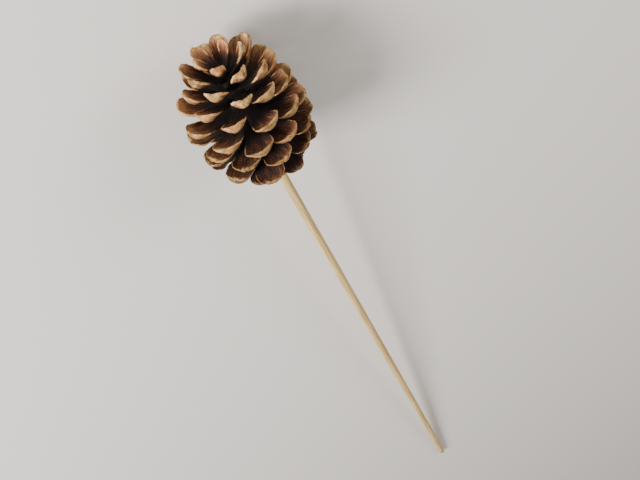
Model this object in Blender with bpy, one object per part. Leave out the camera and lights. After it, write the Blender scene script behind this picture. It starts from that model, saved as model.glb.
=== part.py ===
"""Pine cone pick: a dried, open pine cone glued on a round wooden stick.

Three pieces: the cone, grown as one body of woody scales round a core; the stick, pushed into a hole
drilled in the cone's base; and the glue that holds it there.

The pick is modelled upright, with the origin where the stick enters the cone, the cone's tip towards +Z
and the stick towards -Z. It is then laid down on the surface Z = 0, with its stick towards +X, where it
rests on two of the cone's scales and on the stick's end. Blender units are metres, +Z is up.
"""

import math
import random

import bmesh
import bpy
import numpy as np
from mathutils import Matrix, Vector

MM = 0.001
MERGE_DISTANCE = 0.001 * MM
SHARP_ANGLE = math.radians(35)

# The stick: a turned wooden dowel.
STICK_DIAMETER = 4.2 * MM
STICK_SHOWN = 392 * MM
STICK_IN_CONE = 15 * MM
STICK_CHAMFER = 0.35 * MM
STICK_SIDES = 20

# The hole drilled in the cone's base, and the glue that lines it, with a gap on each side of the glue.
GAP = 0.3 * MM
GLUE_WALL = 0.7 * MM
GLUE_FLOOR = 1.2 * MM
GLUE_COLLAR_REACH = 1.5 * MM
GLUE_COLLAR_HEIGHT = 1.6 * MM
GLUE_COLLAR_SHOULDER = 0.7
GLUE_SIDES = 16
GLUE_INNER_RADIUS = STICK_DIAMETER / 2 + GAP
GLUE_OUTER_RADIUS = GLUE_INNER_RADIUS + GLUE_WALL
HOLE_RADIUS = GLUE_OUTER_RADIUS + GAP
HOLE_DEPTH = STICK_IN_CONE + GLUE_FLOOR + 2 * GAP
COLLAR_RADIUS = GLUE_OUTER_RADIUS + GLUE_COLLAR_REACH
DRILL_RUN_OUT = 12 * MM

# The cone's core: radius at each height above the base.
CORE_HEIGHTS = [h * MM for h in (0.0, 1.5, 8.0, 21.0, 35.0, 44.0, 48.5)]
CORE_RADII = [r * MM for r in (4.9, 5.7, 6.2, 5.4, 3.9, 2.3, 1.0)]
CORE_CROWN = 0.6 * MM
CORE_SIDES = 12

# The scales follow one another up the core, each a golden angle on from the last.
SCALE_COUNT = 76
GOLDEN_ANGLE = math.radians(137.508)
SEED = 11

# How the scales change up the cone, at these shares of the way from the first scale to the last.
STAGES = (0.0, 0.08, 0.2, 0.35, 0.55, 0.75, 0.9, 1.0)
SEAT_HEIGHT = [h * MM for h in (2.2, 5.4, 10.4, 17.0, 26.0, 35.0, 42.0, 46.6)]
OPENING = [math.radians(a) for a in (130, 122, 110, 97, 83, 67, 51, 36)]
LENGTH = [v * MM for v in (6.0, 10.5, 16.5, 20.0, 20.5, 19.5, 17.0, 12.0)]
WIDTH = [v * MM for v in (7.2, 9.6, 11.6, 12.4, 12.0, 10.2, 7.6, 5.0)]
TIP_THICKNESS = [v * MM for v in (2.3, 2.7, 3.1, 3.3, 3.2, 2.9, 2.4, 1.9)]
CURL = [math.radians(a) for a in (12, 8, -4, -14, -20, -22, -18, -10)]

# How much the scales differ from one another.
TURN_JITTER = math.radians(2.6)
OPENING_JITTER = math.radians(3.2)
TWIST_JITTER = math.radians(8)
SIZE_JITTER = 0.06
CURL_VARIES = (0.5, 1.5)

# One scale, at shares of the way from its root in the core to its rounded end.
ROOT_SUNK = 3.2 * MM
ROOT_WIDTH_SHARE = 0.42
BLADE_THICKNESS = 1.35 * MM
BROADENS_FROM = 0.08
WIDEST_AT = 0.82
KNOB_STARTS = 0.58
KNOB_FULL = 0.86
ROUND_STARTS = 0.78
ROUND_POWER = 2.4
CUP_DEPTH = 0.16
CUP_STARTS = 0.2
CUP_FULL = 0.9
LIP = 0.2
END_LEAN = 0.3
END_THINNING = 0.42
LEAST_CURL = 1e-6
RING_STATIONS = (0.0, 0.6, 0.78, 0.9, 0.96, 0.99)
SMALL_RING_STATIONS = (0.0, 0.6, 0.86, 0.98)
SMALL_SCALE = 12.5 * MM
UPPER_CORNERS = (-1.0, -0.58, 0.0, 0.58, 1.0)
LOWER_CORNERS = (0.62, 0.0, -0.62)
CAP_TRIANGLES = ((0, 1, 7), (1, 2, 6), (1, 6, 7), (2, 3, 6), (3, 5, 6), (3, 4, 5))

# How the pick lies: which side is up, and how far its low points are worn flat.
ROLL = math.radians(31.3)
WORN_FLAT = 0.35 * MM
STEEPEST_SLOPE = math.radians(20)
SLOPE_HALVINGS = 40
TABLE_SIZE = 0.7
TABLE_DEPTH = 0.05


def clear_scene():
    for obj in list(bpy.data.objects):
        bpy.data.objects.remove(obj)


def material(name, colour, roughness):
    made = bpy.data.materials.new(name)
    made.use_nodes = True
    shader = made.node_tree.nodes["Principled BSDF"]
    shader.inputs["Base Color"].default_value = (*colour, 1)
    shader.inputs["Roughness"].default_value = roughness
    shader.inputs["Metallic"].default_value = 0
    return made


def new_object(name, bm, finish=None):
    """A mesh object from a bmesh, with its faces pointing out."""
    bmesh.ops.recalc_face_normals(bm, faces=bm.faces)
    mesh = bpy.data.meshes.new(name)
    bm.to_mesh(mesh)
    bm.free()
    obj = bpy.data.objects.new(name, mesh)
    bpy.context.scene.collection.objects.link(obj)
    if finish:
        mesh.materials.append(finish)
    return obj


def turned(name, outline, sides, finish=None):
    """A closed solid of revolution about Z from (radius, height) points that start and end on the axis."""
    bm = bmesh.new()
    points = [bm.verts.new((radius, 0, height)) for radius, height in outline]
    edges = [bm.edges.new(pair) for pair in zip(points, points[1:])]
    bmesh.ops.spin(
        bm,
        geom=points + edges,
        cent=(0, 0, 0),
        axis=(0, 0, 1),
        angle=math.tau,
        steps=sides,
        use_merge=True,
    )
    bmesh.ops.remove_doubles(bm, verts=bm.verts, dist=MERGE_DISTANCE)
    return new_object(name, bm, finish)


def smooth_step(low, high, value):
    share = min(1.0, max(0.0, (value - low) / (high - low)))
    return share * share * (3 - 2 * share)


def at_stage(values, stage):
    return float(np.interp(stage, STAGES, values))


def scale_build(index):
    """The size and place of one scale, counted from the base."""
    stage = index / (SCALE_COUNT - 1)
    draw = random.Random(SEED * 1000 + index)
    size = 1 + draw.uniform(-SIZE_JITTER, SIZE_JITTER)
    seat = at_stage(SEAT_HEIGHT, stage)
    return {
        "turn": index * GOLDEN_ANGLE + draw.uniform(-TURN_JITTER, TURN_JITTER),
        "opening": at_stage(OPENING, stage) + draw.uniform(-OPENING_JITTER, OPENING_JITTER),
        "twist": draw.uniform(-TWIST_JITTER, TWIST_JITTER),
        "curl": at_stage(CURL, stage) * draw.uniform(*CURL_VARIES),
        "length": at_stage(LENGTH, stage) * size,
        "half_width": at_stage(WIDTH, stage) / 2 * (1 + draw.uniform(-SIZE_JITTER, SIZE_JITTER)),
        "tip": at_stage(TIP_THICKNESS, stage),
        "seat": seat,
        "core_radius": float(np.interp(seat, CORE_HEIGHTS, CORE_RADII)),
    }


def half_width_at(scale, along):
    """Half the scale's width: narrow at the root, widest near the end, which is round."""
    blade = ROOT_WIDTH_SHARE + (1 - ROOT_WIDTH_SHARE) * smooth_step(BROADENS_FROM, WIDEST_AT, along)
    past = max(0.0, (along - ROUND_STARTS) / (1 - ROUND_STARTS))
    return scale["half_width"] * blade * (1 - past**ROUND_POWER) ** (1 / ROUND_POWER)


def thickness_at(scale, along):
    """Thickness on the midline: a thin blade that swells below into the knob at its end."""
    knob = smooth_step(KNOB_STARTS, KNOB_FULL, along)
    past = max(0.0, (along - KNOB_FULL) / (1 - KNOB_FULL))
    full = BLADE_THICKNESS + (scale["tip"] - BLADE_THICKNESS) * knob
    return full * (1 - END_THINNING * past * past)


def scale_point(scale, along, across, upper):
    """A point on a scale: along runs from root to end, across from edge (-1) to edge (1)."""
    half_width = half_width_at(scale, along)
    thickness = thickness_at(scale, along)
    # The upper face is a trough across, with a lip that turns up at its end.
    share = across * half_width / scale["half_width"]
    cup = CUP_DEPTH * scale["half_width"] * smooth_step(CUP_STARTS, CUP_FULL, along)
    lip = LIP * scale["half_width"] * smooth_step(ROUND_STARTS, 1, along)
    height = cup * (2 * share * share - 1) + lip
    lower_by = 0 if upper else thickness * (1 - across * across)
    run = along * (scale["length"] + ROOT_SUNK) - END_LEAN * lower_by * smooth_step(KNOB_STARTS, 1, along)
    # The midline is an arc, which leaves the core at one angle from the cone's axis and ends at another.
    turned_by = scale["curl"] * along
    chord = run * (math.sin(turned_by / 2) / (turned_by / 2) if abs(turned_by) > LEAST_CURL else 1)
    heading = scale["opening"] - scale["curl"] / 2 + turned_by / 2
    end_heading = scale["opening"] - scale["curl"] / 2 + turned_by
    twist = scale["twist"] * along
    sideways = across * half_width * math.cos(twist) - (height - lower_by) * math.sin(twist)
    lift = across * half_width * math.sin(twist) + (height - lower_by) * math.cos(twist)
    out = scale["core_radius"] - ROOT_SUNK + chord * math.sin(heading) - lift * math.cos(end_heading)
    up = scale["seat"] + chord * math.cos(heading) + lift * math.sin(end_heading)
    cos_turn, sin_turn = math.cos(scale["turn"]), math.sin(scale["turn"])
    return Vector((out * cos_turn - sideways * sin_turn, out * sin_turn + sideways * cos_turn, up))


def scale_ring(scale, along):
    corners = [scale_point(scale, along, across, True) for across in UPPER_CORNERS]
    return corners + [scale_point(scale, along, across, False) for across in LOWER_CORNERS]


def cone_scale(index):
    """One woody scale, as rings of corners joined from its root to its end."""
    scale = scale_build(index)
    bm = bmesh.new()
    stations = RING_STATIONS if scale["length"] > SMALL_SCALE else SMALL_RING_STATIONS
    rings = [[bm.verts.new(point) for point in scale_ring(scale, along)] for along in stations]
    count = len(rings[0])
    for lower, higher in zip(rings, rings[1:]):
        for corner in range(count):
            following = (corner + 1) % count
            bm.faces.new((lower[corner], lower[following], higher[following]))
            bm.faces.new((lower[corner], higher[following], higher[corner]))
    for ring in (rings[0], rings[-1]):
        for corners in CAP_TRIANGLES:
            bm.faces.new([ring[corner] for corner in corners])
    return new_object(f"scale_{index:02d}", bm)


def pine_cone(finish):
    """The cone: its core and all its scales, joined in one body, with the stick's hole in its base."""
    outline = [(0, CORE_HEIGHTS[0])]
    outline += list(zip(CORE_RADII, CORE_HEIGHTS))
    outline += [(0, CORE_HEIGHTS[-1] + CORE_CROWN)]
    cone = turned("cone", outline, CORE_SIDES, finish)
    scales = bpy.data.collections.new("scales")
    bpy.context.scene.collection.children.link(scales)
    for index in range(SCALE_COUNT):
        scale = cone_scale(index)
        bpy.context.scene.collection.objects.unlink(scale)
        scales.objects.link(scale)
    join = cone.modifiers.new("join_scales", "BOOLEAN")
    join.operation = "UNION"
    join.operand_type = "COLLECTION"
    join.collection = scales
    join.solver = "EXACT"
    keep_modifiers(cone)
    for scale in list(scales.objects):
        bpy.data.objects.remove(scale)
    bpy.data.collections.remove(scales)
    return cone


def keep_modifiers(obj):
    """Makes the modifiers' result the object's own mesh."""
    bpy.context.view_layer.update()
    evaluated = obj.evaluated_get(bpy.context.evaluated_depsgraph_get())
    mesh = bpy.data.meshes.new_from_object(evaluated)
    obj.modifiers.clear()
    obj.data = mesh


def wooden_stick(finish):
    radius = STICK_DIAMETER / 2
    outline = [
        (0, -STICK_SHOWN),
        (radius - STICK_CHAMFER, -STICK_SHOWN),
        (radius, -STICK_SHOWN + STICK_CHAMFER),
        (radius, STICK_IN_CONE - STICK_CHAMFER),
        (radius - STICK_CHAMFER, STICK_IN_CONE),
        (0, STICK_IN_CONE),
    ]
    return turned("stick", outline, STICK_SIDES, finish)


def glue_plug(finish):
    """The glue: a cup that lines the drilled hole, with the collar that was squeezed out round the stick."""
    top = STICK_IN_CONE + GAP + GLUE_FLOOR
    collar_top = -GAP
    outline = [
        (0, top),
        (GLUE_OUTER_RADIUS, top),
        (GLUE_OUTER_RADIUS, collar_top),
        (COLLAR_RADIUS, collar_top),
        (GLUE_OUTER_RADIUS, collar_top - GLUE_COLLAR_HEIGHT * GLUE_COLLAR_SHOULDER),
        (GLUE_INNER_RADIUS, collar_top - GLUE_COLLAR_HEIGHT),
        (GLUE_INNER_RADIUS, STICK_IN_CONE + GAP),
        (0, STICK_IN_CONE + GAP),
    ]
    return turned("glue", outline, GLUE_SIDES, finish)


def cutter(name, obj):
    obj.name = name
    obj.hide_render = True
    obj.display_type = "WIRE"
    return obj


def drilled_hole():
    """The hole for the stick, wider under the base, where the glue's collar sits among the last scales."""
    outline = [
        (0, -DRILL_RUN_OUT),
        (COLLAR_RADIUS + GAP, -DRILL_RUN_OUT),
        (COLLAR_RADIUS + GAP, 0),
        (HOLE_RADIUS, 0),
        (HOLE_RADIUS, HOLE_DEPTH),
        (0, HOLE_DEPTH),
    ]
    return cutter("drill", turned("drill", outline, GLUE_SIDES))


def cut_away(obj, tool):
    cut = obj.modifiers.new(f"cut_{tool.name}", "BOOLEAN")
    cut.operation = "DIFFERENCE"
    cut.object = tool
    cut.solver = "EXACT"


def points_of(obj):
    points = np.empty(len(obj.data.vertices) * 3)
    obj.data.vertices.foreach_get("co", points)
    return points.reshape(-1, 3)


def lying_down(cone, stick):
    """The placement that lays the upright pick on the surface, with its stick towards +X."""
    roll = Matrix.Rotation(ROLL, 4, "Z")
    tip_over = Matrix.Rotation(math.radians(-90), 4, "Y") @ roll
    turn = np.array(tip_over)[:3, :3]
    cone_points, stick_points = points_of(cone) @ turn.T, points_of(stick) @ turn.T

    def heights(points, slope):
        return points[:, 2] * math.cos(slope) - points[:, 0] * math.sin(slope)

    # The stick's end comes down until it is as low as the cone.
    low, high = 0.0, STEEPEST_SLOPE
    for _ in range(SLOPE_HALVINGS):
        slope = (low + high) / 2
        if heights(stick_points, slope).min() > heights(cone_points, slope).min():
            low = slope
        else:
            high = slope
    placed = Matrix.Rotation(slope, 4, "Y") @ tip_over
    turn = np.array(placed)[:3, :3]
    points = np.concatenate([points_of(cone), points_of(stick)]) @ turn.T
    middle = (points.min(0) + points.max(0)) / 2
    floor = points[:, 2].min() + WORN_FLAT
    return Matrix.Translation((-middle[0], -middle[1], -floor)) @ placed


def build():
    clear_scene()
    cone = pine_cone(material("cone_scales", (0.27, 0.15, 0.075), 0.75))
    stick = wooden_stick(material("stick_wood", (0.62, 0.47, 0.26), 0.6))
    glue = glue_plug(material("set_glue", (0.62, 0.5, 0.3), 0.35))
    pick = bpy.data.objects.new("pick", None)
    bpy.context.scene.collection.objects.link(pick)
    pick.matrix_world = lying_down(cone, stick)
    hole = drilled_hole()
    for obj in (cone, stick, glue, hole):
        obj.parent = pick
    cut_away(cone, hole)
    bm = bmesh.new()
    bmesh.ops.create_cube(bm, size=1)
    bmesh.ops.scale(bm, vec=(TABLE_SIZE, TABLE_SIZE, TABLE_DEPTH), verts=bm.verts)
    bmesh.ops.translate(bm, vec=(0, 0, -TABLE_DEPTH / 2), verts=bm.verts)
    table = cutter("table", new_object("table", bm))
    cut_away(cone, table)
    cut_away(stick, table)
    for obj in (cone, stick, glue):
        obj.data.set_sharp_from_angle(angle=SHARP_ANGLE)
    return cone, stick, glue


build()
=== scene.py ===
# %% [markdown]
# # A pine cone pick
# A pick is a dried pine cone on a thin wooden stick, made to stand in a bouquet or a wreath. This
# lesson dresses its plain solids, the frame, with the cone's real scales, a turned stick and the glue
# between them. The frame already says how big the pick is and how it lies, so every piece below is
# shaped upright, where its formulas are simple, and then laid down where the frame has it.

# %% Load the frame
import math
import random

import bmesh
import bpy
import numpy as np
from mathutils import Matrix, Vector, noise


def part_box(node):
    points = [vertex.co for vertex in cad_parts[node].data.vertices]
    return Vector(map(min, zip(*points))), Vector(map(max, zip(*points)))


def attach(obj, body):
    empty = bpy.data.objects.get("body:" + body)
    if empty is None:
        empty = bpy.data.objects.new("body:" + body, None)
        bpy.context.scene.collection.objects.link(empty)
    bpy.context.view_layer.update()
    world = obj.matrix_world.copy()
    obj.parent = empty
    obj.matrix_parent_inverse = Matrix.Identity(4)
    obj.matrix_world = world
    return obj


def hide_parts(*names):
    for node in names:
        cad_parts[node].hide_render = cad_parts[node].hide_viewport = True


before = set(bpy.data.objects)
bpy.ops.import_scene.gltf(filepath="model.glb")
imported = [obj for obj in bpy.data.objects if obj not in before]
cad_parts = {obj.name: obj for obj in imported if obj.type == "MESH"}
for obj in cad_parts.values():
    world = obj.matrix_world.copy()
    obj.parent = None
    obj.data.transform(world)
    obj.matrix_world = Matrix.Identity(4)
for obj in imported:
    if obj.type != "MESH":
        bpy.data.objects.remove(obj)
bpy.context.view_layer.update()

MM = 0.001

# %% [markdown]
# ## Find how the pick lies
# The stick runs along the cone's own axis. The glue is round about the same axis, so the middle of its
# points lies on it, and the direction in which they spread furthest is its direction. A singular value
# decomposition finds that direction. It is safer than reading the stick's two ends, because one of
# them is worn flat. The stick's inner end is 15 mm up the hole, which fixes the place along the axis.

# %% The axis, and the placement that lays an upright piece on it
STICK_IN_CONE = 15 * MM
ROLL = math.radians(31.3)


def points_of(node):
    points = np.empty(len(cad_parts[node].data.vertices) * 3)
    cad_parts[node].data.vertices.foreach_get("co", points)
    return np.unique(points.reshape(-1, 3).round(6), axis=0)


glue_points = points_of("glue")
middle = glue_points.mean(0)
axis = np.linalg.svd(glue_points - middle)[2][0]
if axis[0] > 0:
    axis = -axis
inner_end = ((points_of("stick") - middle) @ axis).max()
base = Vector(middle + axis * (inner_end - STICK_IN_CONE))
axis = Vector(axis)
slope = math.atan2(axis.z, -axis.x)
lay_down = (
    Matrix.Translation(base)
    @ Matrix.Rotation(slope, 4, "Y")
    @ Matrix.Rotation(math.radians(-90), 4, "Y")
    @ Matrix.Rotation(ROLL, 4, "Z")
)
print("the axis slopes", round(math.degrees(slope), 3), "degrees; base at", [round(v / MM, 2) for v in base])

# %% [markdown]
# ## The spiral that the scales follow
# A pine cone sets each new scale a golden angle, about 137.5 degrees, on from the last, so no scale
# stands straight above another and they share the space evenly. What changes up the cone is a list of
# sizes read at a few stages: the lowest scales are short and folded back, the middle ones long and
# wide open, and the last ones small and almost upright. Small seeded draws keep the scales from
# looking stamped. The numbers are those of the plain solid, so that the fine cone keeps its form.
#
# Each scale also gets an age, which is 1 at the base and falls to 0 about three quarters of the way up.
# It makes the lowest scales, which opened first, the roughest, and it paints shade on them: the scales
# by the base, which lie in the shade of those above, are painted the darkest.

# %% Sizes of the scales, from the base to the tip
SCALE_COUNT = 76
GOLDEN_ANGLE = math.radians(137.508)
SEED = 11
STAGES = (0.0, 0.08, 0.2, 0.35, 0.55, 0.75, 0.9, 1.0)
SEAT_HEIGHT = [h * MM for h in (2.2, 5.4, 10.4, 17.0, 26.0, 35.0, 42.0, 46.6)]
OPENING = [math.radians(a) for a in (130, 122, 110, 97, 83, 67, 51, 36)]
LENGTH = [v * MM for v in (6.0, 10.5, 16.5, 20.0, 20.5, 19.5, 17.0, 12.0)]
WIDTH = [v * MM for v in (7.2, 9.6, 11.6, 12.4, 12.0, 10.2, 7.6, 5.0)]
TIP_THICKNESS = [v * MM for v in (2.3, 2.7, 3.1, 3.3, 3.2, 2.9, 2.4, 1.9)]
CURL = [math.radians(a) for a in (12, 8, -4, -14, -20, -22, -18, -10)]
TURN_JITTER = math.radians(2.6)
OPENING_JITTER = math.radians(3.2)
TWIST_JITTER = math.radians(8)
SIZE_JITTER = 0.06
CURL_VARIES = (0.5, 1.5)
# How far up the age and the painted shade of the lowest scales fade out.
OLD_AND_SHADED_UNTIL = 0.72
CORE_HEIGHTS = [h * MM for h in (0.0, 1.5, 8.0, 21.0, 35.0, 44.0, 48.5)]
CORE_RADII = [r * MM for r in (4.9, 5.7, 6.2, 5.4, 3.9, 2.3, 1.0)]


def at_stage(values, stage):
    return float(np.interp(stage, STAGES, values))


def smooth_step(low, high, value):
    """0 up to low, 1 from high on, and an S-shaped rise between them."""
    share = min(1.0, max(0.0, (value - low) / (high - low)))
    return share * share * (3 - 2 * share)


def scale_build(index):
    """The size and place of one scale, counted from the base."""
    stage = index / (SCALE_COUNT - 1)
    draw = random.Random(SEED * 1000 + index)
    size = 1 + draw.uniform(-SIZE_JITTER, SIZE_JITTER)
    seat = at_stage(SEAT_HEIGHT, stage)
    return {
        "turn": index * GOLDEN_ANGLE + draw.uniform(-TURN_JITTER, TURN_JITTER),
        "opening": at_stage(OPENING, stage) + draw.uniform(-OPENING_JITTER, OPENING_JITTER),
        "twist": draw.uniform(-TWIST_JITTER, TWIST_JITTER),
        "curl": at_stage(CURL, stage) * draw.uniform(*CURL_VARIES),
        "length": at_stage(LENGTH, stage) * size,
        "half_width": at_stage(WIDTH, stage) / 2 * (1 + draw.uniform(-SIZE_JITTER, SIZE_JITTER)),
        "tip": at_stage(TIP_THICKNESS, stage),
        "seat": seat,
        "core_radius": float(np.interp(seat, CORE_HEIGHTS, CORE_RADII)),
        "tint": draw.random(),
        "grain": draw.uniform(0, 100),
        # The age also paints shade: it darkens the lowest scales, which lie in the shade of those above.
        "age_and_shade": 1 - smooth_step(0, OLD_AND_SHADED_UNTIL, stage),
    }


scales = [scale_build(index) for index in range(SCALE_COUNT)]
print(SCALE_COUNT, "scales, the longest", round(max(s["length"] for s in scales) / MM, 1), "mm")

# %% [markdown]
# ## One woody scale
# A scale is a thin blade that broadens from its root and swells, on its lower side, into a thick
# knob at its rounded end. Its upper face is a trough with two shallow prints, where the winged seeds
# lay, and a pale lip round the end. The lip is what one sees first on an open cone: a row of pale
# crescents over dark hollows. The trough is a little shallower than the plain solid's, because the
# lip and the prints add to its depth.
#
# Sculpting each scale would be slow, and copies of one scale would look stamped. Here a function
# turns two numbers, how far along the scale and how far round its section, into a point, so that a
# UV sphere can be stretched over it: the sphere's poles become the root and the middle of the end.
# The next cells build that function up from the outline, the lip and the relief.

# %% The outline and the thickness of a scale
ROOT_SUNK = 3.2 * MM
ROOT_WIDTH_SHARE = 0.42
BLADE_THICKNESS = 1.35 * MM
BROADENS_FROM = 0.08
WIDEST_AT = 0.82
KNOB_STARTS = 0.58
KNOB_FULL = 0.86
ROUND_STARTS = 0.78
ROUND_POWER = 2.4
END_THINNING = 0.42


def half_width_at(scale, along):
    """Half the scale's width: narrow at the root, widest near the end, which is round."""
    blade = ROOT_WIDTH_SHARE + (1 - ROOT_WIDTH_SHARE) * smooth_step(BROADENS_FROM, WIDEST_AT, along)
    past = max(0.0, (along - ROUND_STARTS) / (1 - ROUND_STARTS))
    return scale["half_width"] * blade * (1 - past**ROUND_POWER) ** (1 / ROUND_POWER)


def thickness_at(scale, along):
    """Thickness on the midline: a thin blade that swells below into the knob at its end."""
    knob = smooth_step(KNOB_STARTS, KNOB_FULL, along)
    past = max(0.0, (along - KNOB_FULL) / (1 - KNOB_FULL))
    full = BLADE_THICKNESS + (scale["tip"] - BLADE_THICKNESS) * knob
    return full * (1 - END_THINNING * past * past)


print("the widest scale is", round(max(s["half_width"] for s in scales) * 2 / MM, 1), "mm across")

# %% The lip, and the prints that the seeds left
LIP_END = 2.2 * MM
LIP_SIDE = 0.6 * MM
LIP_BLEND = 0.7
LIP_FROM = (0.5, 0.75)
PRINT_FROM, PRINT_TO = (0.22, 0.42), (0.7, 0.82)
PRINT_CENTRE, PRINT_SPREAD = 0.42, 0.27


def lip_at(scale, along, across):
    """How much a point belongs to the lip: 1 at the scale's edge, 0 inside. It is widest at the end."""
    from_side = (1 - abs(across)) * half_width_at(scale, along) / LIP_SIDE
    from_end = (1 - along) * (scale["length"] + ROOT_SUNK) / LIP_END
    near = max(1 - from_side, 1 - from_end)
    return smooth_step(0, LIP_BLEND, near) * smooth_step(*LIP_FROM, along)


def print_at(along, across):
    """How deep a point lies in one of the two prints: 1 in the middle of a print, 0 outside."""
    lengthwise = smooth_step(*PRINT_FROM, along) * (1 - smooth_step(*PRINT_TO, along))
    return lengthwise * math.exp(-(((abs(across) - PRINT_CENTRE) / PRINT_SPREAD) ** 2))


print("lip", LIP_END / MM, "mm wide at the end and", LIP_SIDE / MM, "mm at the sides")

# %% The uneven relief, from noise
FIBRES_ACROSS, FIBRES_ALONG = 9, 2
OUTLINE_ALONG, OUTLINE_SIDES = 7, 3
NOTCHES_ACROSS, NOTCHES_APART = 3, 20
WARP_ACROSS, WARP_ALONG, WARP_APART = 0.9, 1.7, 50
WRINKLES_ACROSS, WRINKLES_ALONG, WRINKLES_APART = 5, 22, 70
NOTCH_FRACTAL = (0.7, 2.3, 3)
WRINKLE_FRACTAL = (0.8, 2.2, 3)


def noise_place(scale, x, y, apart=0):
    """Where a noise is read: at the scale's own depth, and apart from another kind of relief."""
    return Vector((x, y, scale["grain"] + apart))


def fibres_at(scale, along, across):
    """Fine ridges that run from the root to the end."""
    return noise.noise(noise_place(scale, across * FIBRES_ACROSS, along * FIBRES_ALONG))


def outline_at(scale, along, across):
    """The wandering of the outline, different on the left and the right side."""
    return noise.noise(noise_place(scale, along * OUTLINE_ALONG, math.copysign(OUTLINE_SIDES, across)))


def notches_at(scale, across):
    """Notches in the rim of the end."""
    return noise.fractal(noise_place(scale, across * NOTCHES_ACROSS, 0, NOTCHES_APART), *NOTCH_FRACTAL)


def warp_at(scale, along, across):
    """The slow bending that drying gives the whole blade."""
    return noise.noise(noise_place(scale, across * WARP_ACROSS, along * WARP_ALONG, WARP_APART))


def wrinkles_at(scale, along, across):
    """Wrinkles of the dried end, coarser than the fibres and uneven both ways."""
    place = noise_place(scale, across * WRINKLES_ACROSS, along * WRINKLES_ALONG, WRINKLES_APART)
    return noise.fractal(place, *WRINKLE_FRACTAL)


print("the first scale's relief is read at a depth of", round(scales[0]["grain"], 1))

# %% How far a point lies below the upper face
LIP_SWELL = 0.3 * MM
PRINT_DEPTH = 0.25 * MM
FIBRE_RELIEF = 0.07 * MM
LOWER_FIBRE_RELIEF = 0.14 * MM
WRINKLE_RELIEF = 0.28 * MM
RIM = 0.35 * MM
UNDERSIDE_ROUND = 0.85
KEEL_AT, KEEL_SPREAD, KEEL_HEIGHT = 0.92, 0.03, 0.2 * MM
BOSS_SPREAD, BOSS_HEIGHT = 0.3, 0.15 * MM
NOSE_FROM = 0.93
NOSE_POWER = 3
AGE_ROUGHENS = 1.1
# The lower face reads the noises this much further along, so that it doesn't repeat the upper one.
LOWER_FIBRES, LOWER_WRINKLES = 5, 3


def roughness_of(scale):
    """How many times rougher than a young scale it is: 1 by the tip, about 2 at the base."""
    return 1 + AGE_ROUGHENS * scale["age_and_shade"]


def depth_at(scale, along, across, side):
    """How far a point lies below the trough's surface. side is above 0 on the upper face."""
    # The end closes round the middle of its thickness, like a blunt nose.
    past = max(0.0, (along - NOSE_FROM) / (1 - NOSE_FROM))
    nose = (1 - past**NOSE_POWER) ** (1 / NOSE_POWER)
    thickness = thickness_at(scale, along)
    depth = thickness / 2 * (1 - nose)
    rim = RIM * nose
    dried = nose * smooth_step(KNOB_STARTS, KNOB_FULL, along)
    wrinkle_relief = roughness_of(scale) * WRINKLE_RELIEF * dried
    if side >= 0:
        lip = lip_at(scale, along, across)
        depth += rim * (1 - side) ** 2
        depth += PRINT_DEPTH * print_at(along, across)
        depth += FIBRE_RELIEF * nose * fibres_at(scale, along, across)
        depth += wrinkle_relief * lip * wrinkles_at(scale, along, across)
        return depth - LIP_SWELL * nose * lip

    # The lower face bulges, and near its end a keel crosses it, with a small boss in the middle.
    depth += rim + (thickness * nose - rim) * (side * side) ** UNDERSIDE_ROUND
    keel = math.exp(-(((along - KEEL_AT) / KEEL_SPREAD) ** 2)) * side * side
    depth += keel * (KEEL_HEIGHT + BOSS_HEIGHT * math.exp(-((across / BOSS_SPREAD) ** 2)))
    depth += LOWER_FIBRE_RELIEF * nose * side * fibres_at(scale, along + LOWER_FIBRES, across)
    return depth + wrinkle_relief * side * side * wrinkles_at(scale, along + LOWER_WRINKLES, across)


print("seed prints", PRINT_DEPTH / MM, "mm deep; the lip swells by", LIP_SWELL / MM, "mm")

# %% A point on a scale
CUP_DEPTH = 0.12
CUP_STARTS, CUP_FULL = 0.2, 0.9
LIP_RISE = 0.2
END_LEAN = 0.3
RAGGED = 0.07
RIM_NOTCHES = 0.55 * MM
WARP = 0.35 * MM
LEAST_CURL = 1e-6


def scale_point(scale, along, across, side):
    """A point on a scale, upright: along runs from its root to its end, across from side to side."""
    rough = roughness_of(scale)
    half_width = half_width_at(scale, along) * (1 + rough * RAGGED * outline_at(scale, along, across))
    share = across * half_width / scale["half_width"]
    cup = CUP_DEPTH * scale["half_width"] * smooth_step(CUP_STARTS, CUP_FULL, along)
    lip_rise = LIP_RISE * scale["half_width"] * smooth_step(ROUND_STARTS, 1, along)
    trough = cup * (2 * share * share - 1) + lip_rise + WARP * along * warp_at(scale, along, across)
    depth = depth_at(scale, along, across, side)
    lean = END_LEAN * depth * smooth_step(KNOB_STARTS, 1, along)
    notches = rough * RIM_NOTCHES * notches_at(scale, across) * smooth_step(ROUND_STARTS, 1, along)
    run = along * (scale["length"] + ROOT_SUNK) - lean + notches

    # The midline is an arc, which leaves the core at one angle from the cone's axis and ends at another.
    turned_by = scale["curl"] * along
    chord = run * (math.sin(turned_by / 2) / (turned_by / 2) if abs(turned_by) > LEAST_CURL else 1)
    heading = scale["opening"] - scale["curl"] / 2 + turned_by / 2
    end_heading = scale["opening"] - scale["curl"] / 2 + turned_by
    twist = scale["twist"] * along
    sideways = across * half_width * math.cos(twist) - (trough - depth) * math.sin(twist)
    lift = across * half_width * math.sin(twist) + (trough - depth) * math.cos(twist)
    out = scale["core_radius"] - ROOT_SUNK + chord * math.sin(heading) - lift * math.cos(end_heading)
    up = scale["seat"] + chord * math.cos(heading) + lift * math.sin(end_heading)
    cos_turn, sin_turn = math.cos(scale["turn"]), math.sin(scale["turn"])
    return Vector((out * cos_turn - sideways * sin_turn, out * sin_turn + sideways * cos_turn, up))


tip_scale = scales[-1]
print("the last scale ends at", [round(v / MM, 1) for v in scale_point(tip_scale, 1, 0, -1)], "mm")

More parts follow.
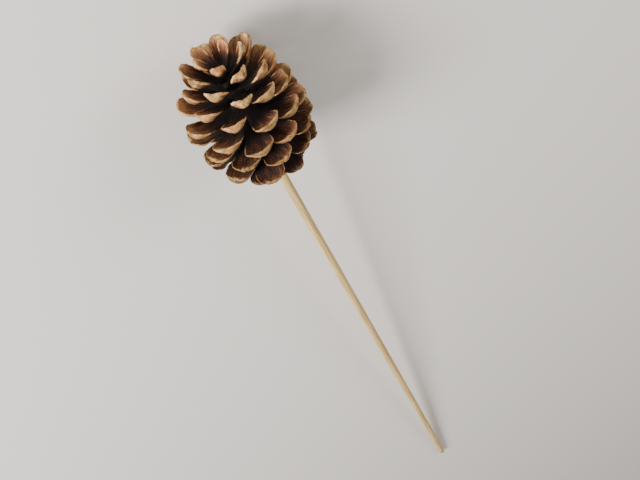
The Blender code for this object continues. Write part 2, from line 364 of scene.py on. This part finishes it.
# %% [markdown]
# ## Grow the cone
# One sphere is made and copied for each scale, and its points are moved to the scale's shape. Its
# rings are crowded towards the end, where the shape changes fastest. The colours need to know where on
# its scale a point is, so each point keeps that as attributes: how far along and across, whether it is
# on the upper face, how much it is lip or seed print, and its scale's tint and age.
#
# The stick's hole stays open: points that would stand in it, or in the glue's collar under the base,
# are moved out to its wall. The pick lies on two of its scales, so whatever would reach under the
# floor is pressed flat onto it.
#
# Every face has to look outwards. Recalculating the normals makes the faces of a body agree, but it
# only guesses which way is out, and it guesses wrong on two of these curled scales. The sign of the
# closed body's volume settles it: it is negative when the body is inside out.
#
# Spinning an outline and making a sphere give the same faces each time, but in a different order, so
# the faces are sorted by their corners. Then the script writes the same mesh on every run.

# %% The hole in the cone's base
GAP = 0.3 * MM
STICK_RADIUS = 2.1 * MM
GLUE_WALL = 0.7 * MM
GLUE_FLOOR = 1.2 * MM
COLLAR_REACH = 1.5 * MM
GLUE_INNER = STICK_RADIUS + GAP
GLUE_OUTER = GLUE_INNER + GLUE_WALL
HOLE_RADIUS = GLUE_OUTER + GAP
HOLE_DEPTH = STICK_IN_CONE + GLUE_FLOOR + 2 * GAP
COLLAR_RADIUS = GLUE_OUTER + COLLAR_REACH
NEAR_BASE = 12 * MM


def clear_of_hole(point):
    """The point, moved straight out from the axis if it stands in the hole or in the glue's collar."""
    if not -NEAR_BASE < point.z < HOLE_DEPTH:
        return point
    least = HOLE_RADIUS if point.z > 0 else COLLAR_RADIUS + GAP
    radius = math.hypot(point.x, point.y)
    if radius >= least or radius == 0:
        return point
    return Vector((point.x * least / radius, point.y * least / radius, point.z))


def laid(point):
    """An upright point where the lying pick has it, pressed flat where it would reach under the floor."""
    placed = lay_down @ point
    placed.z = max(placed.z, 0.0)
    return placed


print("hole", round(HOLE_RADIUS * 2 / MM, 1), "mm wide,", round(HOLE_DEPTH / MM, 1), "mm deep")

# %% Helpers that shape and finish every piece
SAME_POINT = 0.001 * MM


def sort_faces(bm):
    """Puts the faces in the order of their corners."""
    bm.verts.index_update()
    ordered = sorted(bm.faces, key=lambda face: sorted(vert.index for vert in face.verts))
    for number, face in enumerate(ordered):
        face.index = number
    bm.faces.sort()


def face_outwards(bm):
    """Turns the faces of one closed body outwards."""
    bmesh.ops.recalc_face_normals(bm, faces=bm.faces)
    if bm.calc_volume(signed=True) < 0:
        bmesh.ops.reverse_faces(bm, faces=bm.faces)


def spun(bm, outline, sides):
    """Adds a closed round shape from (radius, height) points that start and end on the axis."""
    chain = [bm.verts.new((radius, 0, height)) for radius, height in outline]
    links = [bm.edges.new(pair) for pair in zip(chain, chain[1:])]
    bmesh.ops.spin(
        bm, geom=chain + links, cent=(0, 0, 0), axis=(0, 0, 1),
        angle=math.tau, steps=sides, use_merge=True,
    )
    bmesh.ops.remove_doubles(bm, verts=bm.verts, dist=SAME_POINT)
    sort_faces(bm)
    face_outwards(bm)


def finished(name, bm, finish, node):
    """Turns a bmesh into a smooth piece that rides on the frame and stands for one of its nodes."""
    mesh = bpy.data.meshes.new(name)
    bm.to_mesh(mesh)
    bm.free()
    mesh.shade_smooth()
    mesh.materials.append(finish)
    piece = bpy.data.objects.new(name, mesh)
    bpy.context.scene.collection.objects.link(piece)
    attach(piece, "root")
    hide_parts(node)
    mesh.calc_loop_triangles()
    points = np.array([vert.co for vert in mesh.vertices])
    off = np.abs(np.array([points.min(0), points.max(0)]) - np.array(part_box(node))).max()
    print(name, len(mesh.loop_triangles), "triangles, box within", round(off / MM, 2), "mm of the frame's")


print("points closer than", SAME_POINT / MM, "mm are merged")

# %% [markdown]
# ## Colours and node helper
# The colours are read off a colour picker as sRGB hex values, but shaders work in linear light, so one
# function turns them. Another adds a node: it takes the node's settings, and for each input socket
# either a value or the output that is linked to it. A Mix node has sockets for several kinds of
# data under the same names, so its colour sockets are reached by number.

# %% Colours and nodes
MIX_A, MIX_B, MIX_RESULT = 6, 7, 2


def linear(code):
    """An sRGB hex colour such as "C8A073" as a shader's linear red, green, blue and alpha."""
    channels = [int(code[i:i + 2], 16) / 255 for i in (0, 2, 4)]
    return (*(c / 12.92 if c <= 0.04045 else ((c + 0.055) / 1.055) ** 2.4 for c in channels), 1.0)


def add(tree, kind, sockets=None, stops=None, **settings):
    """One node. sockets gives each input a value or a linked output; stops are a ramp's colours."""
    node = tree.nodes.new("ShaderNode" + kind)
    for name, value in settings.items():
        setattr(node, name, value)
    for key, value in (sockets or {}).items():
        if isinstance(value, bpy.types.NodeSocket):
            tree.links.new(value, node.inputs[key])
        else:
            node.inputs[key].default_value = value
    if stops:
        elements = node.color_ramp.elements
        elements.remove(elements[-1])
        for number, (place, code) in enumerate(stops):
            element = elements[0] if number == 0 else elements.new(place)
            element.position = place
            element.color = linear(code)
    return node


def new_material(name):
    """A material with an empty node tree but for its shader, and that shader."""
    made = bpy.data.materials.new(name)
    made.use_nodes = True
    made.node_tree.nodes.clear()
    shader = add(made.node_tree, "BsdfPrincipled")
    add(made.node_tree, "OutputMaterial", {"Surface": shader.outputs["BSDF"]})
    return made, made.node_tree, shader


print("tan is", [round(v, 3) for v in linear("C8A073")], "in linear light")

# %% [markdown]
# ## Finish: dried pine cone scale
# A dried scale is bare, matt wood. Its upper face is reddish brown with two paler prints where the
# seeds' wings lay, and it turns almost black by the core: partly its own colour, partly painted shade of
# the deep hollows there. Its lip is pale tan, wrinkled and worn through in places, its lower face is
# dark brown with lengthwise fibres and also darkest by the core, and each scale has weathered a little
# differently. The old ones at the base have the most worn lips, and painted shade makes them the darkest,
# as they lie in the shade of the scales above. The attributes say where on the scale a point is, so
# three ramps give the three zones their colours and masks blend them. Real fibres are about 0.2 mm
# wide, too fine to show from here, so they are drawn 0.5 mm wide.

# %% Where a point is on its scale, and the noises
# The age mark carries both the age and the painted shade of the lowest scales.
MARKS = ("along", "across", "upper", "lip", "print", "tint", "age_and_shade")
MOTTLE_SIZE = 2.2 * MM
SPECKLE_SIZE = 0.6 * MM
# A middling scale's size turns the shares along and across it into millimetres of fibre.
HALF_WIDTH_MM = 6.0
LENGTH_MM = 22.0
FIBRE_WIDTH = 0.5
FIBRE_STRETCH = 12
# The tint, which is different on each scale, moves it this far on in the fibres' noise.
SCALES_APART = 300.0

scale_wood, tree, shader = new_material("dried_cone_scale")
shader.inputs["Roughness"].default_value = 0.8
shader.inputs["Specular IOR Level"].default_value = 0.25
along, across, upper, lip, seed_print, tint, age_and_shade = (
    add(tree, "Attribute", attribute_name=name).outputs["Fac"]
    for name in MARKS
)
fibres_across = HALF_WIDTH_MM / FIBRE_WIDTH
fibres_along = LENGTH_MM / FIBRE_WIDTH / FIBRE_STRETCH
fibre_place = add(tree, "CombineXYZ", {
    "X": add(tree, "Math", {0: across, 1: fibres_across}, operation="MULTIPLY").outputs[0],
    "Y": add(tree, "Math", {0: along, 1: fibres_along}, operation="MULTIPLY").outputs[0],
    "Z": add(tree, "Math", {0: tint, 1: SCALES_APART}, operation="MULTIPLY").outputs[0],
}).outputs[0]
fibre = add(tree, "TexNoise", {"Vector": fibre_place, "Scale": 1.0, "Detail": 4.0}).outputs["Fac"]
place = add(tree, "TexCoord").outputs["Object"]
mottle = add(tree, "TexNoise", {"Vector": place, "Scale": 1 / MOTTLE_SIZE, "Detail": 5.0}).outputs["Fac"]
speckle = add(tree, "TexNoise", {
    "Vector": place, "Scale": 1 / SPECKLE_SIZE, "Detail": 3.0,
}).outputs["Fac"]
print(scale_wood.name, "reads", len(tree.nodes), "nodes of place and noise")

# %% The colours of the upper and the lower face, from dark at the root to tan at the end, with painted shade by the core
STREAKS = 0.44
# Painted shade: the lowest scales' upper faces are moved down their ramp, to darker colours.
PAINTED_SHADE_ON_FACE = -0.14
PRINTS_PALER = 0.08
FACE_TURNS = (-0.35, 0.1)

streak = add(tree, "Math", {0: fibre, 1: STREAKS, 2: -STREAKS / 2}, operation="MULTIPLY_ADD").outputs[0]
streaked = add(tree, "Math", {0: along, 1: streak}, operation="ADD").outputs[0]
# Painted shade on the faces of the lowest scales.
face_with_painted_shade = add(tree, "Math", {
    0: age_and_shade, 1: PAINTED_SHADE_ON_FACE, 2: streaked,
}, operation="MULTIPLY_ADD").outputs[0]
printed = add(tree, "Math", {
    0: seed_print, 1: PRINTS_PALER, 2: face_with_painted_shade,
}, operation="MULTIPLY_ADD").outputs[0]
# The near-black stops by the root are partly the scale's own dark wood and partly painted shade of the deep
# hollows by the core.
upper_colour = add(tree, "ValToRGB", {"Fac": printed}, stops=[
    (0.34, "100705"), (0.56, "1C0E09"), (0.71, "432617"),
    (0.82, "7E5135"), (0.91, "B08259"), (1.0, "C59A6B"),
]).outputs["Color"]
# Here too the darkest stops by the root are partly painted shade of the hollows by the core.
lower_colour = add(tree, "ValToRGB", {"Fac": streaked}, stops=[
    (0.3, "150C08"), (0.6, "301D12"), (0.78, "573721"), (0.9, "8A613C"), (1.0, "A87F50"),
]).outputs["Color"]
upper_share = add(tree, "MapRange", {
    "Value": upper, "From Min": FACE_TURNS[0], "From Max": FACE_TURNS[1],
}).outputs["Result"]
faces = add(tree, "Mix", {
    0: upper_share, MIX_A: lower_colour, MIX_B: upper_colour,
}, data_type="RGBA").outputs[MIX_RESULT]
print(scale_wood.name, "has the colours of its two faces")

# %% The lip, which wears away with age and breaks up in specks
LIP_GRAIN = 0.5
WARM_FROM, WARM_SHARE = 0.55, 0.7
AGE_WEARS_LIP = -0.45
LIP_BREAKS = 1.3
LIP_SHOWS = (0.3, 0.85)

lip_grain = add(tree, "Math", {
    0: speckle, 1: LIP_GRAIN, 2: -LIP_GRAIN / 2,
}, operation="MULTIPLY_ADD").outputs[0]
lip_shade = add(tree, "Math", {0: mottle, 1: lip_grain}, operation="ADD").outputs[0]
lip_colour = add(tree, "ValToRGB", {"Fac": lip_shade}, stops=[
    (0.3, "7E5428"), (0.43, "AE8048"), (0.55, "C89F67"), (0.7, "E2C293"),
]).outputs["Color"]
warmth = add(tree, "MapRange", {
    "Value": tint, "From Min": WARM_FROM, "To Max": WARM_SHARE,
}).outputs["Result"]
warm_lip = add(tree, "Mix", {
    0: warmth, MIX_A: lip_colour, MIX_B: linear("BB7F48"),
}, data_type="RGBA").outputs[MIX_RESULT]
worn_lip = add(tree, "Math", {0: age_and_shade, 1: AGE_WEARS_LIP, 2: lip}, operation="MULTIPLY_ADD").outputs[0]
breaks = add(tree, "Math", {
    0: speckle, 1: LIP_BREAKS, 2: -LIP_BREAKS / 2,
}, operation="MULTIPLY_ADD").outputs[0]
broken_lip = add(tree, "Math", {0: breaks, 1: worn_lip}, operation="ADD").outputs[0]
lip_share = add(tree, "MapRange", {
    "Value": broken_lip, "From Min": LIP_SHOWS[0], "From Max": LIP_SHOWS[1],
}).outputs["Result"]
zones = add(tree, "Mix", {
    0: lip_share, MIX_A: faces, MIX_B: warm_lip,
}, data_type="RGBA").outputs[MIX_RESULT]
print(scale_wood.name, "has its three zones")

# %% Painted shade on the lowest scales, weathering, which greys the exposed end, and the relief of the fibres
OWN_VALUES = (0.82, 1.2)
# Painted shade: the lowest scales are darkened, as they lie in the shade of those above.
PAINTED_SHADE_BELOW = -0.66
WEATHERED_FROM, WEATHERED_FULL, WEATHERED_SHARE = 1.4, 1.75, 0.55

own_value = add(tree, "MapRange", {
    "Value": tint, "To Min": OWN_VALUES[0], "To Max": OWN_VALUES[1],
}).outputs["Result"]
# The value mixes each scale's own random tone with painted shade on the lowest scales.
value_with_painted_shade = add(tree, "Math", {
    0: age_and_shade, 1: PAINTED_SHADE_BELOW, 2: own_value,
}, operation="MULTIPLY_ADD").outputs[0]
tone_and_shade_colour = add(tree, "HueSaturation", {"Color": zones, "Value": value_with_painted_shade}).outputs[0]
exposed = add(tree, "Math", {0: streaked, 1: speckle}, operation="ADD").outputs[0]
weathering = add(tree, "MapRange", {
    "Value": exposed, "From Min": WEATHERED_FROM, "From Max": WEATHERED_FULL, "To Max": WEATHERED_SHARE,
}).outputs["Result"]
weathered = add(tree, "Mix", {
    0: weathering, MIX_A: tone_and_shade_colour, MIX_B: linear("6E5238"),
}, data_type="RGBA").outputs[MIX_RESULT]
tree.links.new(weathered, shader.inputs["Base Color"])
relief = add(tree, "Math", {0: fibre, 1: speckle}, operation="ADD").outputs[0]
bump = add(tree, "Bump", {"Height": relief, "Strength": 1.0, "Distance": 0.42 * MM})
tree.links.new(bump.outputs["Normal"], shader.inputs["Normal"])
print(scale_wood.name, "has", len(tree.nodes), "nodes")

# %% The core, with the hole for the stick
ROUND = 36
CORE_CROWN = 0.6 * MM
CORE_TINT = 0.5

bm = bmesh.new()
marks = {name: bm.verts.layers.float.new(name) for name in MARKS}
outline = [(0, HOLE_DEPTH), (HOLE_RADIUS, HOLE_DEPTH), (HOLE_RADIUS, 0)]
outline += list(zip(CORE_RADII, CORE_HEIGHTS)) + [(0, CORE_HEIGHTS[-1] + CORE_CROWN)]
spun(bm, outline, ROUND)
for vert in bm.verts:
    vert.co = laid(vert.co)
    vert[marks["tint"]] = CORE_TINT
print("core of", len(bm.faces), "faces")

# %% The scales, joined with the core in one piece
RINGS = 34
END_CROWDING = 2.0
# On the sphere's own axis a point has no angle, and it takes the lower face's middle.
POLE, POLE_ANGLE = 1e-6, -math.pi / 2

ball = bmesh.new()
bmesh.ops.create_uvsphere(ball, u_segments=ROUND, v_segments=RINGS, radius=1)
sort_faces(ball)
marks = {name: ball.verts.layers.float.new(name) for name in MARKS}
scale_mesh = bpy.data.meshes.new("one_scale")
for scale in scales:
    one = ball.copy()
    marks = {name: one.verts.layers.float[name] for name in MARKS}
    for vert in one.verts:
        off_axis = math.hypot(vert.co.x, vert.co.y)
        angle = math.atan2(vert.co.y, vert.co.x) if off_axis > POLE else POLE_ANGLE
        polar = math.acos(max(-1.0, min(1.0, vert.co.z))) / math.pi
        along = 1 - (1 - polar) ** END_CROWDING
        across, side = math.cos(angle), math.sin(angle)
        vert.co = laid(clear_of_hole(scale_point(scale, along, across, side)))
        vert[marks["along"]] = along
        vert[marks["across"]] = across
        vert[marks["upper"]] = side
        vert[marks["lip"]] = lip_at(scale, along, across)
        vert[marks["print"]] = print_at(along, across)
        vert[marks["tint"]] = scale["tint"]
        vert[marks["age_and_shade"]] = scale["age_and_shade"]
    # One bmesh can't take in another, so the scale goes into the cone by way of a mesh.
    face_outwards(one)
    one.to_mesh(scale_mesh)
    one.free()
    bm.from_mesh(scale_mesh)
ball.free()
bpy.data.meshes.remove(scale_mesh)
finished("pine_cone", bm, scale_wood, "cone")

# %% [markdown]
# ## Finish and shape of the stick
# The stick is a birch dowel, cut round by a rotary cutter and left bare. That leaves straw-coloured
# wood with fine, darker lines along it, and a surface that is not quite even. The dowel is an outline
# spun about the axis, with many rings so that its sides can waver by a few hundredths of a
# millimetre. Its grain is a noise stretched fifty times along the stick, read from the upright
# position that each point keeps as an attribute.

# %% Bare dowel wood
GRAIN_WIDTH = 0.45
GRAIN_STRETCH = 50
BLOTCHES_A_MM = (0.3, 0.3, 0.035)
BLOTCH_FROM, BLOTCH_FULL, BLOTCH_SHARE = 0.5, 0.75, 0.5

dowel_wood, tree, shader = new_material("bare_birch_dowel")
shader.inputs["Roughness"].default_value = 0.62
shader.inputs["Specular IOR Level"].default_value = 0.35
upright = add(tree, "Attribute", attribute_name="upright_mm").outputs["Vector"]
grain_place = add(tree, "Mapping", {
    "Vector": upright, "Scale": (1 / GRAIN_WIDTH, 1 / GRAIN_WIDTH, 1 / GRAIN_WIDTH / GRAIN_STRETCH),
}).outputs[0]
grain = add(tree, "TexNoise", {"Vector": grain_place, "Scale": 1.0, "Detail": 5.0}).outputs["Fac"]
blotch_place = add(tree, "Mapping", {"Vector": upright, "Scale": BLOTCHES_A_MM}).outputs[0]
blotch = add(tree, "TexNoise", {"Vector": blotch_place, "Scale": 1.0, "Detail": 2.0}).outputs["Fac"]
grain_colour = add(tree, "ValToRGB", {"Fac": grain}, stops=[
    (0.3, "9C7C48"), (0.45, "C2A166"), (0.6, "D3B67C"), (0.75, "E0C996"),
]).outputs["Color"]
blotch_share = add(tree, "MapRange", {
    "Value": blotch, "From Min": BLOTCH_FROM, "From Max": BLOTCH_FULL, "To Max": BLOTCH_SHARE,
}).outputs["Result"]
wood_colour = add(tree, "Mix", {
    0: blotch_share, MIX_A: grain_colour, MIX_B: linear("B89A66"),
}, data_type="RGBA").outputs[MIX_RESULT]
tree.links.new(wood_colour, shader.inputs["Base Color"])
bump = add(tree, "Bump", {"Height": grain, "Strength": 0.35, "Distance": 0.08 * MM})
tree.links.new(bump.outputs["Normal"], shader.inputs["Normal"])
print(dowel_wood.name, "has", len(tree.nodes), "nodes")

# %% The stick
STICK_SHOWN = 392 * MM
STICK_CHAMFER = 0.35 * MM
STICK_RINGS = 80
STICK_SIDES = 40
WAVER = 0.03 * MM
WAVES_ROUND, WAVES_ALONG = 0.6, 0.03


def keep_upright_place(bm):
    """Stores each point's upright place, in millimetres, for patterns that follow the axis."""
    mark = bm.verts.layers.float_vector.new("upright_mm")
    for vert in bm.verts:
        vert[mark] = vert.co / MM


bm = bmesh.new()
sides_from, sides_to = -STICK_SHOWN + STICK_CHAMFER, STICK_IN_CONE - STICK_CHAMFER
outline = [(0, -STICK_SHOWN), (STICK_RADIUS - STICK_CHAMFER, -STICK_SHOWN)]
outline += [(STICK_RADIUS, float(height)) for height in np.linspace(sides_from, sides_to, STICK_RINGS)]
outline += [(STICK_RADIUS - STICK_CHAMFER, STICK_IN_CONE), (0, STICK_IN_CONE)]
spun(bm, outline, STICK_SIDES)
keep_upright_place(bm)
for vert in bm.verts:
    x, y, z = vert.co / MM
    swell = WAVER * noise.noise(Vector((x * WAVES_ROUND, y * WAVES_ROUND, z * WAVES_ALONG)))
    outward = Vector((x, y, 0)).normalized()
    vert.co = laid(vert.co + outward * (swell - WAVER))
finished("birch_stick", bm, dowel_wood, "stick")

# %% [markdown]
# ## The glue
# Hot-melt glue lines the hole, out of sight, and the drop too much of it is pushed out round the stick
# as an uneven collar. It is honey-coloured and lets some light in, so its material scatters light
# under the surface. The cup is spun like the stick. Then the collar is pushed out and down, most at
# its lower edge, by a noise that goes round it, so that it bulges and sags unevenly.

# %% The glue's material and shape
COLLAR_HEIGHT = 1.6 * MM
COLLAR_POINTS = 7
GLUE_SIDES = 48
DROP = 0.6 * MM
BULGE = 0.12
LUMPS, LUMPS_SEED = 1.6, 4.0

set_glue, tree, shader = new_material("hot_melt_glue")
shader.inputs["Base Color"].default_value = linear("D9BE8A")
shader.inputs["Roughness"].default_value = 0.32
shader.inputs["Subsurface Weight"].default_value = 0.35
shader.inputs["Subsurface Radius"].default_value = (1.0, 0.6, 0.3)
shader.inputs["Subsurface Scale"].default_value = 1.0 * MM
upright = add(tree, "Attribute", attribute_name="upright_mm").outputs["Vector"]
ripple = add(tree, "TexNoise", {"Vector": upright, "Scale": 0.8, "Detail": 2.0}).outputs["Fac"]
bump = add(tree, "Bump", {"Height": ripple, "Strength": 0.4, "Distance": 0.2 * MM})
tree.links.new(bump.outputs["Normal"], shader.inputs["Normal"])

bm = bmesh.new()
glue_top = STICK_IN_CONE + GAP + GLUE_FLOOR
collar_arc = [
    (GLUE_INNER + (COLLAR_RADIUS - GLUE_INNER) * math.cos(a), -GAP - COLLAR_HEIGHT * math.sin(a))
    for a in np.linspace(0, math.pi / 2, COLLAR_POINTS)
]
outline = [(0, glue_top), (GLUE_OUTER, glue_top), (GLUE_OUTER, -GAP)] + collar_arc
outline += [(GLUE_INNER, STICK_IN_CONE + GAP), (0, STICK_IN_CONE + GAP)]
spun(bm, outline, GLUE_SIDES)
keep_upright_place(bm)
for vert in bm.verts:
    turn = math.atan2(vert.co.y, vert.co.x)
    uneven = noise.noise(Vector((math.cos(turn) * LUMPS, math.sin(turn) * LUMPS, LUMPS_SEED)))
    share = max(0.0, (-GAP - vert.co.z) / COLLAR_HEIGHT)
    bulge = 1 + BULGE * uneven * share
    vert.co = laid(Vector((vert.co.x * bulge, vert.co.y * bulge, vert.co.z - DROP * uneven * share)))
finished("set_glue", bm, set_glue, "glue")

# %% [markdown]
# ## The floor
# The pick lies on a plain sheet of pale, matt paper that is far larger than the pick, so that its edge
# stays out of sight.

# %% The floor
FLOOR_SIZE = 16.0

paper, tree, shader = new_material("matt_paper")
shader.inputs["Base Color"].default_value = linear("DAD4CE")
shader.inputs["Roughness"].default_value = 0.9
bm = bmesh.new()
bmesh.ops.create_grid(bm, x_segments=1, y_segments=1, size=FLOOR_SIZE / 2)
mesh = bpy.data.meshes.new("floor")
bm.to_mesh(mesh)
bm.free()
mesh.materials.append(paper)
floor = bpy.data.objects.new("floor", mesh)
bpy.context.scene.collection.objects.link(floor)
print("floor", FLOOR_SIZE, "m wide")

# %% [markdown]
# ## The camera
# The photograph looks at the cone from its tip's side, a little over 45 degrees off its axis, with the
# tip to the upper left and the stick running down to the right, 30 degrees from upright. The pick lies
# down here, so the camera keeps that angle to the axis, looks down from past the tip and is turned
# until the stick runs the same way across the picture. It is close enough for the cone to be large
# while the stick's far end still fits.

# %% Place and turn the camera
OFF_AXIS = math.radians(52)
CONE_DISTANCE = 0.32
STICK_LEAN = math.radians(30)
LENS = 44
AIM_SHARE = 0.38
CONE_MIDDLE_HEIGHT = 24 * MM

cone_middle = lay_down @ Vector((0, 0, CONE_MIDDLE_HEIGHT))
stick_end = lay_down @ Vector((0, 0, -STICK_SHOWN))
eye = cone_middle + CONE_DISTANCE * Vector((-math.cos(OFF_AXIS), 0, math.sin(OFF_AXIS)))
to_cone = (cone_middle - eye).normalized()
to_end = (stick_end - eye).normalized()
aim = to_cone.lerp(to_end, AIM_SHARE).normalized()
along_stick = (to_end - to_cone) - aim * (to_end - to_cone).dot(aim)
along_stick.normalize()
beside_stick = (-aim).cross(along_stick)
right = along_stick * math.sin(STICK_LEAN) + beside_stick * math.cos(STICK_LEAN)
up = beside_stick * math.sin(STICK_LEAN) - along_stick * math.cos(STICK_LEAN)
turn = Matrix((right, up, -aim)).transposed().to_4x4()
lens = bpy.data.cameras.new("camera")
lens.lens = LENS
camera = bpy.data.objects.new("camera", lens)
camera.matrix_world = Matrix.Translation(eye) @ turn
bpy.context.scene.collection.objects.link(camera)
bpy.context.scene.camera = camera
print("the camera stands", round(eye.z / MM), "mm above the floor")

# %% [markdown]
# ## The light
# The photograph is a contrast of pale lips and nearly black hollows. Light that came along the cone's
# axis would reach the bottom of each hollow and flatten it. So two large soft lamps stand at the
# sides, nearly square to the axis, the stronger one at the picture's left. The sky has about half its
# full strength, enough for a pale background without lighting the hollows.

# %% Light
KEY_FROM, KEY_ENERGY = Vector((-0.35, -0.8, 0.5)), 24
FILL_FROM, FILL_ENERGY = Vector((-0.3, 0.8, 0.5)), 5
LAMP_SIZE = 0.4
SKY_STRENGTH = 0.55


def soft_lamp(name, offset, energy):
    """A square area lamp that stands off from the cone's middle and faces it."""
    light = bpy.data.lights.new(name, "AREA")
    light.energy = energy
    light.size = LAMP_SIZE
    lamp = bpy.data.objects.new(name, light)
    facing = (-offset).to_track_quat("-Z", "Y").to_matrix().to_4x4()
    lamp.matrix_world = Matrix.Translation(cone_middle + offset) @ facing
    bpy.context.scene.collection.objects.link(lamp)
    apart = math.degrees(offset.angle(eye - cone_middle))
    print(name, "stands", round(apart), "degrees from the camera")


soft_lamp("key", KEY_FROM, KEY_ENERGY)
soft_lamp("fill", FILL_FROM, FILL_ENERGY)
world = bpy.data.worlds.new("studio")
world.use_nodes = True
world.node_tree.nodes["Background"].inputs["Color"].default_value = linear("F1EEEA")
world.node_tree.nodes["Background"].inputs["Strength"].default_value = SKY_STRENGTH
bpy.context.scene.world = world
print("sky strength", SKY_STRENGTH)
